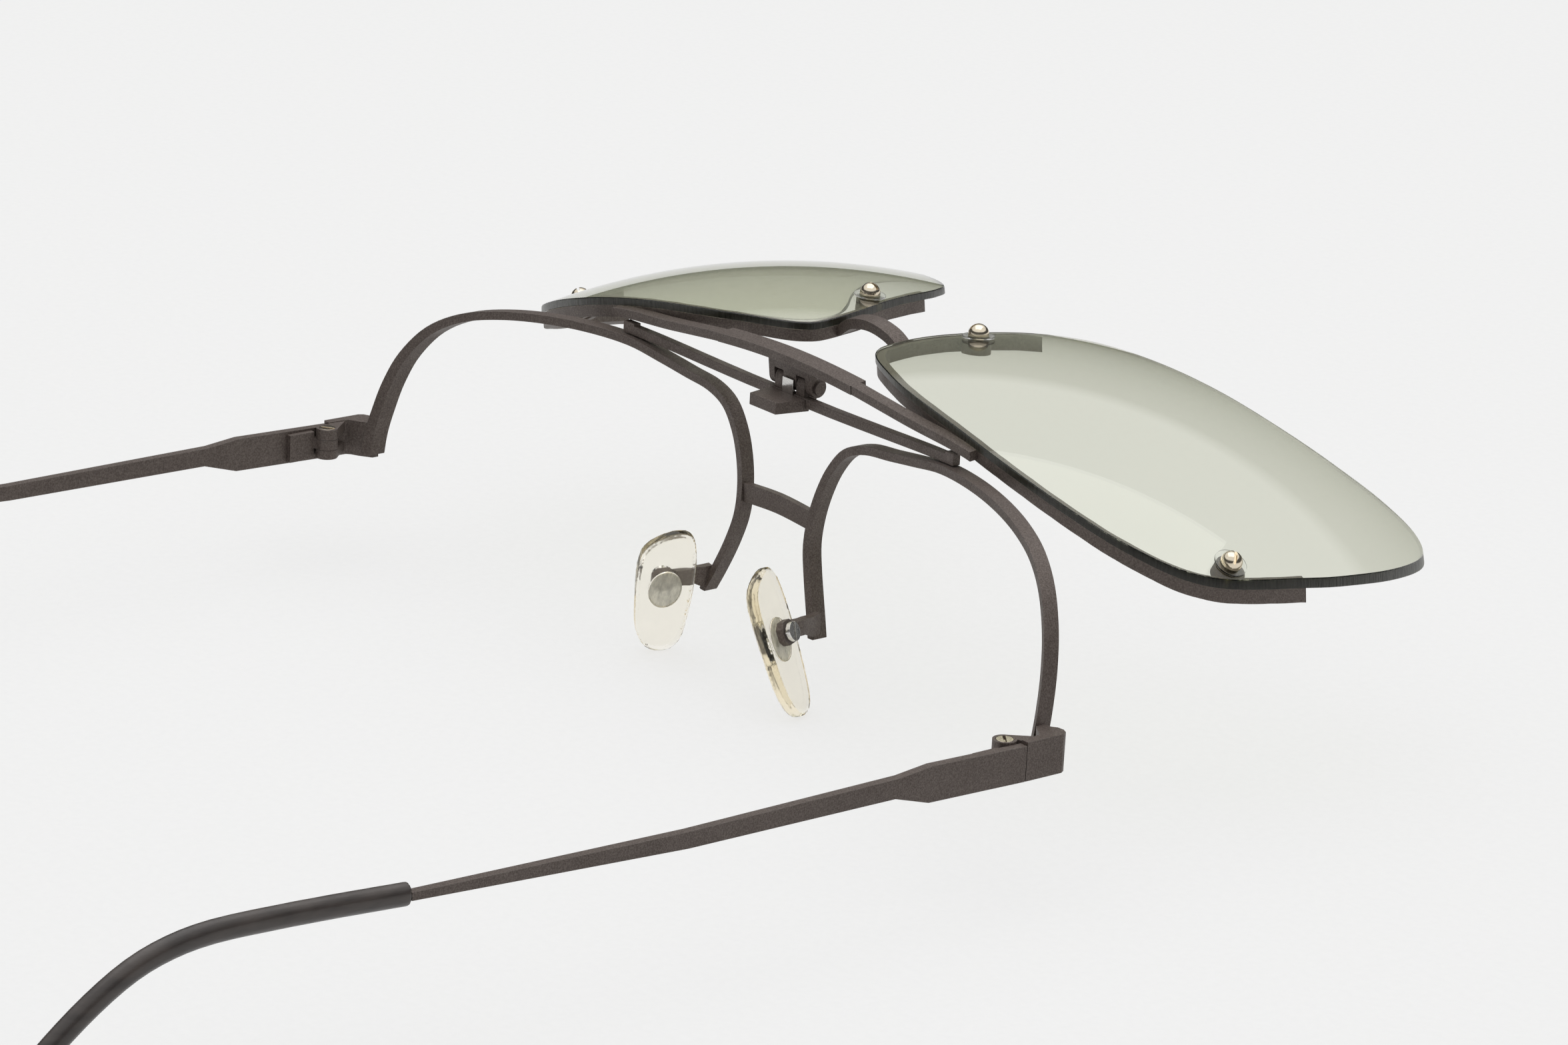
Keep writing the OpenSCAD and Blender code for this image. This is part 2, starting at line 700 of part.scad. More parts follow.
// Flat arm from the nose end of the rim to the box that carries the pad
module pad_arm_shape() {
    plan = [[10.45, -18.9], [10.65, -17.9], [11.1, -16.5], [11.5, -15.2], [11.6, -13.9]];
    side = [[-19.5, -8.2], [-17.5, -7.9], [-16, -7.2], [-13.5, -7], [-13.5, -5.1], [-16, -5.2], [-17.5, -5.4],
        [-19.5, -5.2]];
    w = box_size[0] / 2;
    h = box_size[1] / 2;
    difference() {
        union() {
            pad_pose() translate([0, 0, pad_axis_up]) along_x(box_in, box_out) polygon([[-w, box_corner - h],
                [box_corner - w, -h], [w - box_corner, -h], [w, box_corner - h], [w, h - box_corner],
                [w - box_corner, h], [box_corner - w, h], [-w, h - box_corner]]);
            intersection() {
                along_z(-10, 0) stripe(curve(plan), arm_t);
                along_x(0, far) polygon(side);
            }
        }
        rim_shape();
        pad_stem(pad_screw_r + run_fit, 0, far);
        // Nothing of the arm comes nearer to the pad than its box does
        pad_pose() translate([box_in - far, -pad_w / 2 - 0.6, -far / 2]) cube(far);
    }
}

module pad_arm_left() {
    color(frame_colour) stand() pad_arm_shape();
}

module pad_arm_right() {
    color(frame_colour) stand() other_side() pad_arm_shape();
}

// Clip with the tinted lenses, drawn as it is worn
module band_blank() {
    along_y(-50, 10) intersection() {
        difference() {
            polygon(beside_loop(lens_line, -lens_lip));
            polygon(beside_loop(lens_line, -lens_lip - band_w));
        }
        union() {
            translate([split_x, band_side_end_z]) square(far);
            translate([0, band_nose_end_z]) square([split_x, far]);
        }
    }
}

// The lug reaches from round the screw to the band
module lug(p) {
    for (d = [0, sign(p.x - split_x) * lug_reach])
        on_lens_normal(p + [d, 0]) cylinder(far, lug_r, lug_r);
}

module band_shape() {
    difference() {
        intersection() {
            union() {
                band_blank();
                lug(nose_screw_p);
                lug(side_screw_p);
            }
            shell(lens_c, band_r_in, lens_r_in);
        }
        for (p = [nose_screw_p, side_screw_p])
            on_lens_normal(p) cylinder(far, lens_screw_r + thread_fit, lens_screw_r + thread_fit);
    }
}

module both_bands() {
    band_shape();
    other_side() band_shape();
}

module both_lenses() {
    lens_blank();
    other_side() lens_blank();
}

module clip_band_left() {
    color(frame_colour) flipped() band_shape();
}

module clip_band_right() {
    color(frame_colour) flipped() other_side() band_shape();
}

module clip_bar_half() {
    intersection() {
        along_z(0, 30) stripe(curve(clip_bar_plan), clip_bar_t);
        translate([0, -40, 0]) union() {
            translate([0, 0, clip_bar_top - clip_bar_h]) cube([clip_bar_mid, 40, clip_bar_h]);
            translate([0, 0, clip_bar_top - 0.1 - clip_bar_outer_h])
                cube([clip_bar_half_l, 40, clip_bar_outer_h]);
        }
    }
}

module clip_bar_shape() {
    clip_bar_half();
    other_side() clip_bar_half();
}

module clip_bar() {
    color(frame_colour) flipped() difference() {
        clip_bar_shape();
        both_bands();
        both_lenses();
    }
}

// Leaf that joins the clip's brow bar to its knuckles on the flip hinge's pin
module clip_hinge_leaf() {
    outer_x = flip_hinge_w / 2 - flip_outer_w;
    plate_top = flip_axis_z + flip_knuckle_r;
    fingers = [[-flip_hinge_w / 2, flip_outer_w], [-flip_centre_half, 2 * flip_centre_half],
        [outer_x, flip_outer_w]];
    color(frame_colour) flipped() difference() {
        union() {
            translate([-flip_hinge_w / 2, clip_bar_plan[1].y, plate_top - flip_leaf_t])
                cube([flip_hinge_w, flip_axis_y - flip_knuckle_r - side_gap - clip_bar_plan[1].y, flip_leaf_t]);
            for (f = fingers) {
                flip_knuckle(f[0], f[0] + f[1]);
                translate([f[0], flip_axis_y - 2, plate_top - flip_leaf_t]) cube([f[1], 2, flip_leaf_t]);
            }
        }
        flip_pin_hole(flip_bore_r);
        clip_bar_shape();
    }
}

module clip_bridge() {
    color(frame_colour) flipped() difference() {
        along_z(clip_bridge_z, clip_bridge_z + clip_bridge_h)
            stripe(curve(clip_bridge_plan), clip_bridge_t);
        both_bands();
        both_lenses();
    }
}

module lens_blank() {
    intersection() {
        along_y(-50, 10) polygon(lens_line);
        shell(lens_c, lens_r_in, lens_r);
    }
}

module sun_lens_shape() {
    difference() {
        lens_blank();
        for (p = [nose_screw_p, side_screw_p])
            on_lens_normal(p) cylinder(far, lens_screw_r + run_fit, lens_screw_r + run_fit);
    }
}

module sun_lens_left() {
    color(lens_colour) flipped() sun_lens_shape();
}

module sun_lens_right() {
    color(lens_colour) flipped() other_side() sun_lens_shape();
}

// Screw with a domed, slotted head that clamps the lens to the band's lug
module lens_screw_shape(p, turn) {
    slot_w = 0.35;
    slot_deep = 0.6;
    rim_t = 0.2;
    seat = lens_r + washer_t;
    dome_ball_r = (dome_r * dome_r + pow(dome_h - rim_t, 2)) / (2 * (dome_h - rim_t));
    on_lens_normal(p) difference() {
        union() {
            translate([0, 0, band_r_in + 0.1]) cylinder(seat - band_r_in, lens_screw_r, lens_screw_r);
            translate([0, 0, seat]) cylinder(rim_t, dome_r, dome_r);
            intersection() {
                translate([0, 0, seat]) cylinder(dome_h, dome_r - 0.05, dome_r - 0.05);
                translate([0, 0, seat + dome_h - dome_ball_r]) sphere(dome_ball_r);
            }
        }
        translate([0, 0, seat + dome_h]) rotate([0, 0, turn]) cube([far, slot_w, 2 * slot_deep], center = true);
    }
}

module nose_lens_screw_left() {
    color(gold_colour) flipped() lens_screw_shape(nose_screw_p, 100);
}

module nose_lens_screw_right() {
    color(gold_colour) flipped() other_side() lens_screw_shape(nose_screw_p, 20);
}

module side_lens_screw_left() {
    color(gold_colour) flipped() lens_screw_shape(side_screw_p, 60);
}

module side_lens_screw_right() {
    color(gold_colour) flipped() other_side() lens_screw_shape(side_screw_p, 130);
}

module lens_washer_shape(p) {
    on_lens_normal(p) difference() {
        translate([0, 0, lens_r]) cylinder(washer_t, washer_r, washer_r);
        cylinder(far, lens_screw_r + run_fit, lens_screw_r + run_fit);
    }
}

module nose_lens_washer_left() {
    color(clear_colour) flipped() lens_washer_shape(nose_screw_p);
}

module nose_lens_washer_right() {
    color(clear_colour) flipped() other_side() lens_washer_shape(nose_screw_p);
}

module side_lens_washer_left() {
    color(clear_colour) flipped() lens_washer_shape(side_screw_p);
}

module side_lens_washer_right() {
    color(clear_colour) flipped() other_side() lens_washer_shape(side_screw_p);
}

rim_left();
rim_right();
bridge();
brow_bar();
hinge_block();
flip_hinge_base();
flip_hinge_pin();
detent_spring();
endpiece_left();
endpiece_right();
temple_screw_left();
temple_screw_right();
pad_arm_left();
pad_arm_right();
pad_core_left();
pad_core_right();
pad_screw_left();
pad_screw_right();
nose_pad_left();
nose_pad_right();
temple_leaf_left();
temple_leaf_right();
temple_left();
temple_right();
temple_tip_left();
temple_tip_right();
clip_bar();
clip_hinge_leaf();
clip_bridge();
clip_band_left();
clip_band_right();
sun_lens_left();
sun_lens_right();
nose_lens_screw_left();
nose_lens_screw_right();
side_lens_screw_left();
side_lens_screw_right();
nose_lens_washer_left();
nose_lens_washer_right();
side_lens_washer_left();
side_lens_washer_right();
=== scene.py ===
"""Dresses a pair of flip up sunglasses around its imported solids, in metres.

The wearer's left is +X, the front is -Y and up is +Z. Every piece keeps the place and size of the
solid that it stands for; this file gives it rounded corners, moulded forms and a finish.
"""
import json
import math

import bmesh
import bpy
import numpy as np
from bpy.props import FloatProperty, FloatVectorProperty, IntProperty, PointerProperty
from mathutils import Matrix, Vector


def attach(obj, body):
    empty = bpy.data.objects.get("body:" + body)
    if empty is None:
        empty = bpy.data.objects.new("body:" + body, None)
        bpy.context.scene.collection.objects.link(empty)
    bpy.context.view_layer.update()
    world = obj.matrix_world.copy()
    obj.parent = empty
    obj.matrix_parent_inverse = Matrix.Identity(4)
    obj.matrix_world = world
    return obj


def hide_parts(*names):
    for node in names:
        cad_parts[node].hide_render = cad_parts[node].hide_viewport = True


bl_info = {
    "name": "Flip Up Sunglasses",
    "version": (1, 0, 0),
    "blender": (4, 5, 0),
    "location": "View3D > Sidebar > Sunglasses",
    "description": "Lacquered half rim frame with flipped up tinted lenses, screws and clear pads",
    "category": "Object",
}

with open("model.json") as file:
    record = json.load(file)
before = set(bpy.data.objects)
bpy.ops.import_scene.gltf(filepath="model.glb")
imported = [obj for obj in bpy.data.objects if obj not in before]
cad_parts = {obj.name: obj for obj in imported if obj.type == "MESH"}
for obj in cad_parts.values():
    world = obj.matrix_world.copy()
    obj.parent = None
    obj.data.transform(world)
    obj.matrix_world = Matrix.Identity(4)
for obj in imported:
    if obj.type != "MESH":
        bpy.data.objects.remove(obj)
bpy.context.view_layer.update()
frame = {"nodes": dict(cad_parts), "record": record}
MM = 0.001
SIDES = ("left", "right")
NODES = frame["nodes"]
BODY_OF = {n: b for b, ns in frame["record"]["behaviour"]["bodies"].items() for n in ns}
SLOT_OF = {s["node"]: s["material_slot"] for s in frame["record"]["subparts"]}


def length(name, text, default):
    return FloatProperty(name=name, description=text, default=default, min=0, unit="LENGTH", precision=5)


def colour(name, text, default):
    return FloatVectorProperty(
        name=name, description=text, default=default, size=3, min=0, max=1, subtype="COLOR")


def share(name, text, default, most=1.0):
    return FloatProperty(name=name, description=text, default=default, min=0, max=most)


class LacquerSettings(bpy.types.PropertyGroup):
    base: colour("Lacquer", "Colour of the lacquer on the metal", (0.085, 0.065, 0.055))
    lit: colour("Flakes", "Colour of the fine metal flakes in the lacquer", (0.19, 0.156, 0.138))
    rubbed: colour("Rubbed edge", "Colour of corners where the lacquer is thin", (0.24, 0.225, 0.21))
    metallic: share("Metallic", "How much the lacquer shines like metal", 0.3)
    roughness: share("Roughness", "Roughness of the lacquer", 0.5)
    corner: length("Corner", "Radius of the metal's corners", 0.09 * MM)


class LensSettings(bpy.types.PropertyGroup):
    tint: colour("Tint", "Colour that the lens lets through", (0.881, 0.886, 0.825))
    density: FloatProperty(name="Density", description="Depth of the tint, per metre", default=1700, min=0)
    clear: colour("Clear", "Colour of the lens's faces where they are clean", (0.985, 0.985, 0.98))
    dull: colour("Dull", "Colour of the lens's faces where they are a little dull", (0.965, 0.97, 0.965))
    shadow: colour("Shadow", "Colour of the light that the lens lets fall", (0.93, 0.94, 0.92))
    edge_dark: colour("Dark stripes", "Colour of the dark stripes on the ground edge", (0.15, 0.14, 0.115))
    edge_pale: colour("Pale stripes", "Colour of the pale stripes on the ground edge", (0.38, 0.36, 0.31))
    edge_roughness: share("Edge roughness", "Roughness of the ground edge", 0.32)
    corner: length("Corner", "Width of the polished corner along the edge", 0.12 * MM)
    rings: IntProperty(name="Rings", description="Rings of faces on each surface", default=28, min=4)
    spokes: IntProperty(name="Spokes", description="Faces around the lens", default=300, min=24)


class ScrewSettings(bpy.types.PropertyGroup):
    gold: colour("Gold", "Colour of the plated screws", (0.80, 0.71, 0.56))
    steel: colour("Steel", "Colour of the bright screws and the pin", (0.70, 0.69, 0.67))
    roughness: share("Roughness", "Roughness of the polish", 0.14)
    washer: colour("Washer", "Colour of the clear washers", (0.98, 0.98, 0.97))
    washer_haze: colour("Washer haze", "Colour of the washers where they are dull", (0.93, 0.94, 0.93))
    washer_shadow: colour("Washer shadow", "Colour of the light that a washer lets fall", (0.93, 0.93, 0.92))
    corner: length("Corner", "Radius of the screws' corners", 0.035 * MM)


class PadSettings(bpy.types.PropertyGroup):
    body: colour("Pad", "Colour of the soft clear plastic", (0.998, 0.995, 0.985))
    depth: colour("Depth", "Colour of the plastic where light passes far through it", (0.88, 0.68, 0.15))
    density: FloatProperty(name="Density", description="Depth of that colour, per metre", default=80, min=0)
    shadow: colour("Shadow", "Colour of the light that the pad lets fall", (0.9, 0.88, 0.82))
    core: colour("Core", "Colour of the core in a pad", (0.98, 0.965, 0.88))
    grain: length("Mesh size", "Size of the faces of the moulded pad", 0.17 * MM)
    core_shadow: colour("Core shadow", "Colour of the light that the core lets fall", (0.8, 0.8, 0.76))
    core_gap: length("Core gap", "Thin gap between the core and the pad round it", 0.06 * MM)


class TempleSettings(bpy.types.PropertyGroup):
    plastic: colour("Plastic", "Colour of the plastic tips", (0.045, 0.037, 0.034))
    streak: colour("Streaks", "Colour of the lighter streaks in the plastic", (0.085, 0.07, 0.062))
    roughness: share("Roughness", "Roughness of the plastic", 0.36)
    grain: length("Mesh size", "Size of the faces of the moulded tip", 0.17 * MM)


class StageSettings(bpy.types.PropertyGroup):
    floor: colour("Floor", "Colour of the floor as it is seen", (0.905, 0.905, 0.902))
    bounce: share("Bounce", "Share of the floor's colour that lights the glasses from below", 0.5)
    sky: share("Sky", "Level of the even light from above", 0.9, 2.0)
    horizon: share("Horizon", "Level of the light from low down", 0.08, 2.0)
    plain: share("Plain", "Share of the floor that is plain white, without its soft shadows", 0.75)
    key: FloatProperty(name="Key", description="Power of the soft light above", default=2.8, min=0)
    key_size: FloatProperty(name="Key size", description="Width of the soft light", default=1.0, min=0)
    key_at: FloatVectorProperty(
        name="Key place", description="Place of the soft light", default=(0.1, -0.12, 0.95), size=3,
        subtype="TRANSLATION", unit="LENGTH")
    low: share("Low", "Height up to which the sky is dark, as the rise of a direction one metre long", 0.45)
    high: share("High", "Height from which the sky is bright", 0.51)
    camera_at: FloatVectorProperty(
        name="Camera", description="Place of the camera", default=(-0.5015, 0.3654, 0.2323), size=3,
        subtype="TRANSLATION", unit="LENGTH")
    camera_turn: FloatVectorProperty(
        name="Turn", description="Turn of the camera", size=3, subtype="EULER",
        default=(math.radians(71.884), math.radians(-2.898), math.radians(-128.761)))
    focal: FloatProperty(name="Focal length", description="Camera lens, in millimetres", default=130.1)


# Shader node helpers
def link(tree, pairs):
    for out_socket, in_socket in pairs:
        tree.links.new(out_socket, in_socket)


def node(tree, kind, place, values=None, **settings):
    made = tree.nodes.new(kind)
    made.location = place
    for key, value in settings.items():
        setattr(made, key, value)
    for key, value in (values or {}).items():
        made.inputs[key].default_value = value
    return made


def new_group(name, inputs, outputs):
    tree = bpy.data.node_groups.new(name, "ShaderNodeTree")
    for label, default in inputs.items():
        kind = "NodeSocketColor" if isinstance(default, tuple) else "NodeSocketFloat"
        tree.interface.new_socket(label, in_out="INPUT", socket_type=kind).default_value = default
    for label, kind in outputs.items():
        tree.interface.new_socket(label, in_out="OUTPUT", socket_type=kind)
    start = node(tree, "NodeGroupInput", (-900, 0))
    end = node(tree, "NodeGroupOutput", (700, 0))
    return tree, start, end


def grain_group():
    """Fine speckle with slow mottling: what lacquer and moulded plastic show from close by."""
    tree, start, end = new_group(
        "fine_grain", {"Size": 4000.0, "Mottle": 260.0, "Stretch": 1.0},
        {"Speckle": "NodeSocketFloat", "Mottle": "NodeSocketFloat", "Height": "NodeSocketFloat"})
    place = node(tree, "ShaderNodeTexCoord", (-900, 300))
    spread = node(tree, "ShaderNodeCombineXYZ", (-900, 120), {"X": 1.0, "Y": 1.0})
    stretched = node(tree, "ShaderNodeVectorMath", (-680, 260), operation="MULTIPLY")
    speckle = node(tree, "ShaderNodeTexNoise", (-450, 260), {"Detail": 3.0, "Roughness": 0.65})
    mottle = node(tree, "ShaderNodeTexNoise", (-450, -40), {"Detail": 2.0, "Roughness": 0.5})
    sharp = node(tree, "ShaderNodeMapRange", (-200, 260), {"From Min": 0.36, "From Max": 0.68})
    slow = node(tree, "ShaderNodeMapRange", (-200, -40), {"From Min": 0.3, "From Max": 0.7})
    height = node(tree, "ShaderNodeMath", (100, 100), operation="MULTIPLY_ADD")
    height.inputs[1].default_value = 0.25
    link(tree, [
        (place.outputs["Object"], stretched.inputs[0]), (start.outputs["Stretch"], spread.inputs["Z"]),
        (spread.outputs[0], stretched.inputs[1]), (stretched.outputs[0], speckle.inputs["Vector"]),
        (start.outputs["Size"], speckle.inputs["Scale"]), (stretched.outputs[0], mottle.inputs["Vector"]),
        (start.outputs["Mottle"], mottle.inputs["Scale"]), (speckle.outputs[0], sharp.inputs["Value"]),
        (mottle.outputs[0], slow.inputs["Value"]), (slow.outputs[0], height.inputs[0]),
        (sharp.outputs[0], height.inputs[2]), (sharp.outputs[0], end.inputs["Speckle"]),
        (slow.outputs[0], end.inputs["Mottle"]), (height.outputs[0], end.inputs["Height"])])
    return tree


def rub_group():
    """Mask of the corners that cloths and fingers rub, broken up by a noise."""
    tree, start, end = new_group(
        "corner_rub", {"Radius": 0.0002, "Breakup": 900.0}, {"Mask": "NodeSocketFloat"})
    rounded = node(tree, "ShaderNodeBevel", (-650, 200), samples=4)
    true_normal = node(tree, "ShaderNodeNewGeometry", (-650, 0))
    facing = node(tree, "ShaderNodeVectorMath", (-420, 120), operation="DOT_PRODUCT")
    corner = node(tree, "ShaderNodeMapRange", (-200, 120), {"From Min": 0.985, "From Max": 0.80})
    place = node(tree, "ShaderNodeTexCoord", (-650, -250))
    broken = node(tree, "ShaderNodeTexNoise", (-420, -200), {"Detail": 3.0})
    patchy = node(tree, "ShaderNodeMapRange", (-200, -200), {"From Min": 0.35, "From Max": 0.65})
    mask = node(tree, "ShaderNodeMath", (100, 0), operation="MULTIPLY")
    link(tree, [
        (start.outputs["Radius"], rounded.inputs["Radius"]), (rounded.outputs[0], facing.inputs[0]),
        (true_normal.outputs["True Normal"], facing.inputs[1]),
        (facing.outputs["Value"], corner.inputs["Value"]),
        (place.outputs["Object"], broken.inputs["Vector"]),
        (start.outputs["Breakup"], broken.inputs["Scale"]),
        (broken.outputs[0], patchy.inputs["Value"]), (corner.outputs[0], mask.inputs[0]),
        (patchy.outputs[0], mask.inputs[1]), (mask.outputs[0], end.inputs["Mask"])])
    return tree


def use_group(tree, name, place, values=None):
    made = node(tree, "ShaderNodeGroup", place)
    makers = {"fine_grain": grain_group, "corner_rub": rub_group}
    made.node_tree = bpy.data.node_groups.get(name) or makers[name]()
    for key, value in (values or {}).items():
        made.inputs[key].default_value = value
    return made


def new_material(name, **surface):
    """A material with one Principled shader; surface holds values for its own sockets."""
    material = bpy.data.materials.new(name)
    material.use_nodes = True
    tree = material.node_tree
    shader = tree.nodes["Principled BSDF"]
    shader.location = (300, 300)
    tree.nodes["Material Output"].location = (900, 300)
    for key, value in surface.items():
        shader.inputs[key.replace("_", " ").title().replace("Ior", "IOR")].default_value = value
    return material, tree, shader


def mix_colours(tree, place, factor, first, second):
    """Mix of two colours, each a socket or a plain colour."""
    made = node(tree, "ShaderNodeMix", place, data_type="RGBA")
    tree.links.new(factor, made.inputs["Factor"])
    for socket, value in ((made.inputs[6], first), (made.inputs[7], second)):
        if isinstance(value, bpy.types.NodeSocket):
            tree.links.new(value, socket)
        else:
            socket.default_value = (*value, 1)
    return made.outputs[2]


def vary(tree, place, source, low, high):
    made = node(tree, "ShaderNodeMapRange", place, {"To Min": low, "To Max": high})
    tree.links.new(source, made.inputs["Value"])
    return made.outputs[0]


def bump(tree, place, source, shader, strength, distance):
    made = node(tree, "ShaderNodeBump", place, {"Strength": strength, "Distance": distance})
    tree.links.new(source, made.inputs["Height"])
    tree.links.new(made.outputs[0], shader.inputs["Normal"])


def surface(tree, shader, tone, rough):
    link(tree, [(tone, shader.inputs["Base Color"]), (rough, shader.inputs["Roughness"])])


def once(name, maker):
    return bpy.data.materials.get(name) or maker(name)


def lacquer(name):
    """Matt grey lacquer with metal flakes, thin along the corners."""
    look = bpy.context.scene.lacquer_settings
    material, tree, shader = new_material(name, metallic=look.metallic, ior=1.5)
    grain = use_group(tree, "fine_grain", (-900, 300), {"Size": 5200.0, "Mottle": 300.0})
    rub = use_group(tree, "corner_rub", (-900, 0), {"Radius": 0.16 * MM})
    flakes = mix_colours(tree, (-550, 400), grain.outputs["Speckle"], look.base, look.lit)
    thin = vary(tree, (-700, 0), rub.outputs["Mask"], 0.0, 0.45)
    tone = mix_colours(tree, (-250, 350), thin, flakes, look.rubbed)
    rough = vary(tree, (-250, 100), grain.outputs["Mottle"], look.roughness - 0.05, look.roughness + 0.07)
    surface(tree, shader, tone, rough)
    bump(tree, (-250, -150), grain.outputs["Height"], shader, 0.35, 0.012 * MM)
    return material


def polished(name, tone, roughness):
    """Plated or bare metal, polished, with fine turning marks."""
    material, tree, shader = new_material(name, metallic=1.0)
    grain = use_group(tree, "fine_grain", (-900, 300), {"Size": 3000.0, "Mottle": 700.0, "Stretch": 5.0})
    rub = use_group(tree, "corner_rub", (-900, 0), {"Radius": 0.08 * MM})
    dull = [0.72 * v for v in tone]
    dim = vary(tree, (-700, 400), grain.outputs["Mottle"], 0.0, 0.5)
    toned = mix_colours(tree, (-500, 400), dim, tone, dull)
    bright = [min(1.0, 1.12 * v) for v in tone]
    edged = mix_colours(tree, (-250, 350), rub.outputs["Mask"], toned, bright)
    rough = vary(tree, (-250, 100), grain.outputs["Speckle"], roughness - 0.05, roughness + 0.09)
    surface(tree, shader, edged, rough)
    bump(tree, (-250, -150), grain.outputs["Height"], shader, 0.2, 0.004 * MM)
    return material


def gold(name):
    look = bpy.context.scene.screw_settings
    return polished(name, look.gold, look.roughness)


def steel(name):
    look = bpy.context.scene.screw_settings
    return polished(name, look.steel, look.roughness)


def tip_plastic(name):
    """Dark moulded plastic with long faint streaks."""
    look = bpy.context.scene.temple_settings
    material, tree, shader = new_material(name, ior=1.49, coat_weight=0.15, coat_roughness=0.25)
    grain = use_group(tree, "fine_grain", (-900, 300), {"Size": 2600.0, "Mottle": 220.0, "Stretch": 4.0})
    rub = use_group(tree, "corner_rub", (-900, 0), {"Radius": 0.2 * MM})
    streaks = mix_colours(tree, (-550, 400), grain.outputs["Mottle"], look.plastic, look.streak)
    pale = [2.2 * v for v in look.streak]
    tone = mix_colours(tree, (-250, 350), rub.outputs["Mask"], streaks, pale)
    rough = vary(tree, (-250, 100), grain.outputs["Speckle"], look.roughness - 0.04, look.roughness + 0.08)
    surface(tree, shader, tone, rough)
    bump(tree, (-250, -150), grain.outputs["Height"], shader, 0.25, 0.01 * MM)
    return material


def let_light_through(tree, shader, tone):
    """Lamps and sky reach what lies behind a clear piece, tinted by it."""
    output = tree.nodes["Material Output"]
    path = node(tree, "ShaderNodeLightPath", (300, 700))
    clear = node(tree, "ShaderNodeBsdfTransparent", (300, -250), {"Color": (*tone, 1)})
    mixed = node(tree, "ShaderNodeMixShader", (650, 300))
    link(tree, [(path.outputs["Is Shadow Ray"], mixed.inputs[0]), (shader.outputs[0], mixed.inputs[1]),
                (clear.outputs[0], mixed.inputs[2]), (mixed.outputs[0], output.inputs["Surface"])])


def tint_inside(tree, tone, density):
    inside = node(tree, "ShaderNodeVolumeAbsorption", (650, 0), {"Color": (*tone, 1), "Density": density})
    tree.links.new(inside.outputs[0], tree.nodes["Material Output"].inputs["Volume"])


def pad_plastic(name):
    """Soft clear plastic, amber where the eye looks far through it."""
    look = bpy.context.scene.pad_settings
    material, tree, shader = new_material(name, ior=1.41, transmission_weight=1.0)
    grain = use_group(tree, "fine_grain", (-900, 300), {"Size": 1500.0, "Mottle": 350.0})
    hazy = [0.97 * v for v in look.body]
    tone = mix_colours(tree, (-250, 350), grain.outputs["Mottle"], look.body, hazy)
    surface(tree, shader, tone, vary(tree, (-250, 100), grain.outputs["Mottle"], 0.06, 0.14))
    bump(tree, (-250, -150), grain.outputs["Mottle"], shader, 0.25, 0.02 * MM)
    tint_inside(tree, look.depth, look.density)
    let_light_through(tree, shader, look.shadow)
    return material


def core_plastic(name):
    """Ribbed clear core of a nose pad."""
    look = bpy.context.scene.pad_settings
    material, tree, shader = new_material(name, ior=1.5, transmission_weight=0.55)
    grain = use_group(tree, "fine_grain", (-900, 300), {"Size": 1500.0, "Mottle": 700.0, "Stretch": 0.08})
    dark = [0.5 * v for v in look.core]
    tone = mix_colours(tree, (-250, 350), grain.outputs["Speckle"], look.core, dark)
    surface(tree, shader, tone, vary(tree, (-250, 100), grain.outputs["Mottle"], 0.25, 0.5))
    bump(tree, (-250, -150), grain.outputs["Height"], shader, 0.6, 0.06 * MM)
    let_light_through(tree, shader, look.core_shadow)
    return material


def washer_plastic(name):
    """Thin clear washer under a screw's head."""
    look = bpy.context.scene.screw_settings
    material, tree, shader = new_material(name, ior=1.45, transmission_weight=1.0)
    grain = use_group(tree, "fine_grain", (-900, 300), {"Size": 2500.0, "Mottle": 600.0})
    toned = mix_colours(tree, (-250, 350), grain.outputs["Mottle"], look.washer, look.washer_haze)
    surface(tree, shader, toned, vary(tree, (-250, 100), grain.outputs["Speckle"], 0.03, 0.12))
    bump(tree, (-250, -150), grain.outputs["Mottle"], shader, 0.15, 0.006 * MM)
    let_light_through(tree, shader, look.washer_shadow)
    return material


def tinted_lens(name):
    """Polished tinted lens; its ground edge, which the mesh marks, is rough and striped."""
    look = bpy.context.scene.lens_settings
    material, tree, shader = new_material(name, ior=1.5, transmission_weight=1.0)
    mark = node(tree, "ShaderNodeAttribute", (-900, -100), attribute_name=EDGE_MARK)
    grain = use_group(tree, "fine_grain", (-900, 300), {"Size": 700.0, "Mottle": 30.0})
    stripes = use_group(tree, "fine_grain", (-900, 100), {"Size": 2600.0, "Mottle": 900.0, "Stretch": 0.03})
    face_tone = mix_colours(tree, (-550, 400), grain.outputs["Mottle"], look.clear, look.dull)
    edge_tone = mix_colours(tree, (-550, 200), stripes.outputs["Speckle"], look.edge_dark, look.edge_pale)
    tone = mix_colours(tree, (-250, 350), mark.outputs["Fac"], face_tone, edge_tone)
    surface(tree, shader, tone, vary(tree, (-250, 100), mark.outputs["Fac"], 0.0, look.edge_roughness))
    ground = node(tree, "ShaderNodeMath", (-500, -250), operation="MULTIPLY")
    link(tree, [(stripes.outputs["Height"], ground.inputs[0]), (mark.outputs["Fac"], ground.inputs[1])])
    bump(tree, (-250, -150), ground.outputs[0], shader, 0.7, 0.04 * MM)
    tint_inside(tree, look.tint, look.density)
    let_light_through(tree, shader, look.shadow)
    return material


MATERIALS = {
    "grey_metal": lacquer,
    "tip_plastic": tip_plastic,
    "screw_gold": gold,
    "polished_steel": steel,
    "pad_soft_plastic": pad_plastic,
    "pad_core_plastic": core_plastic,
    "tinted_lens": tinted_lens,
    "clear_washer": washer_plastic,
}
EDGE_MARK = "ground_edge"
SHARP_ANGLE = math.radians(32)
FLAT_ANGLE = math.radians(0.4)
WELD = 0.001 * MM


